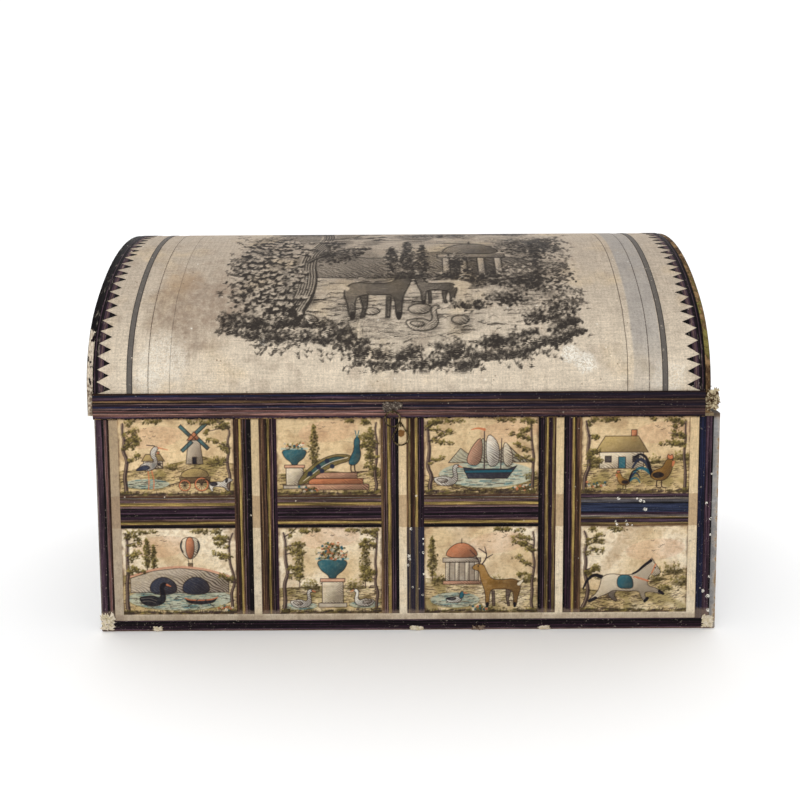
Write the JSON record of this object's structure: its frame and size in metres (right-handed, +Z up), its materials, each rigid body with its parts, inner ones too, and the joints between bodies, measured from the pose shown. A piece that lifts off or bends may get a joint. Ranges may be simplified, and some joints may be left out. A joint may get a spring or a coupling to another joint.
{
  "type": "cardboard trunk",
  "caption": "Rectangular papered pasteboard trunk with a barrel lid on a cloth hinge, pasted pictures and striped border papers on the front, and wire rings at the seam.",
  "frame": {"origin": "centre of the base board's underside", "axes": "+X to the right of someone who faces the front, +Y from the front to the back, +Z up; the front looks along -Y"},
  "size_m": [0.4601, 0.2993, 0.2861],
  "materials": {
    "board": "raw brown pasteboard, layered, matte",
    "front_ground": "aged cream laid paper, matte",
    "side_paper": "grey wrapping paper, rubbed, matte",
    "stripe_paper": "block-printed border paper, dark purple stripes with ochre lines",
    "picture": null,
    "dome_paper": "aged beige laid paper, matte, stained",
    "dome_print": null,
    "grey_band": "grey printed paper band",
    "lining": "plain buff lining paper",
    "cloth": "brown linen hinge tape",
    "leather": "torn brown leather patch, rough",
    "wire": "tarnished brass wire"
  },
  "bodies": {
    "box": {"base_board": "board", "front_board": "board", "back_board": "board", "left_end_board": "board", "right_end_board": "board", "base_lining": "lining", "front_lining": "lining", "back_lining": "lining", "left_lining": "lining", "right_lining": "lining", "front_paper": "front_ground", "back_paper": "side_paper", "left_end_paper": "side_paper", "right_end_paper": "side_paper", "bottom_strip": "stripe_paper", "left_edge_strip": "stripe_paper", "right_edge_strip": "stripe_paper", "upper_picture_1": "picture", "lower_picture_1": "picture", "middle_strip_1": "stripe_paper", "upper_picture_2": "picture", "lower_picture_2": "picture", "middle_strip_2": "stripe_paper", "upper_picture_3": "picture", "lower_picture_3": "picture", "middle_strip_3": "stripe_paper", "upper_picture_4": "picture", "lower_picture_4": "picture", "middle_strip_4": "stripe_paper", "column_strip_1_left": "stripe_paper", "column_strip_1_right": "stripe_paper", "column_strip_2_left": "stripe_paper", "column_strip_2_right": "stripe_paper", "column_strip_3_left": "stripe_paper", "column_strip_3_right": "stripe_paper", "hinge_box_leaf": "cloth", "box_cotter": "wire"},
    "lid": {"dome_board": "board", "left_cheek_board": "board", "right_cheek_board": "board", "front_lip_board": "board", "lip_strip": "stripe_paper", "dome_paper": "dome_paper", "left_cheek_paper": "side_paper", "right_cheek_paper": "side_paper", "dome_print": "dome_print", "left_grey_band": "grey_band", "right_grey_band": "grey_band", "left_tooth_strip": "stripe_paper", "right_tooth_strip": "stripe_paper", "dome_lining": "lining", "left_cheek_lining": "lining", "right_cheek_lining": "lining", "hinge_lid_leaf": "cloth", "clasp_tab": "leather", "lid_cotter": "wire"},
    "lid_ring": {"lid_ring": "wire"},
    "box_ring": {"box_ring": "wire"}
  },
  "joints": [
    {"name": "lid_hinge", "type": "hinge", "parent": "box", "child": "lid", "pos_m": [-0.003, 0.1457, 0.16335], "axis": [-1, 0, 0], "range_deg": [0, 110]},
    {"name": "lid_ring_swing", "type": "hinge", "parent": "lid", "child": "lid_ring", "pos_m": [-0.0106, -0.1515, 0.1671], "axis": [-1, 0, 0], "range_deg": [-5, 170]},
    {"name": "box_ring_swing", "type": "hinge", "parent": "box", "child": "box_ring", "pos_m": [-0.0048, -0.1473, 0.1566], "axis": [-1, 0, 0], "range_deg": [-3, 70]}
  ]
}
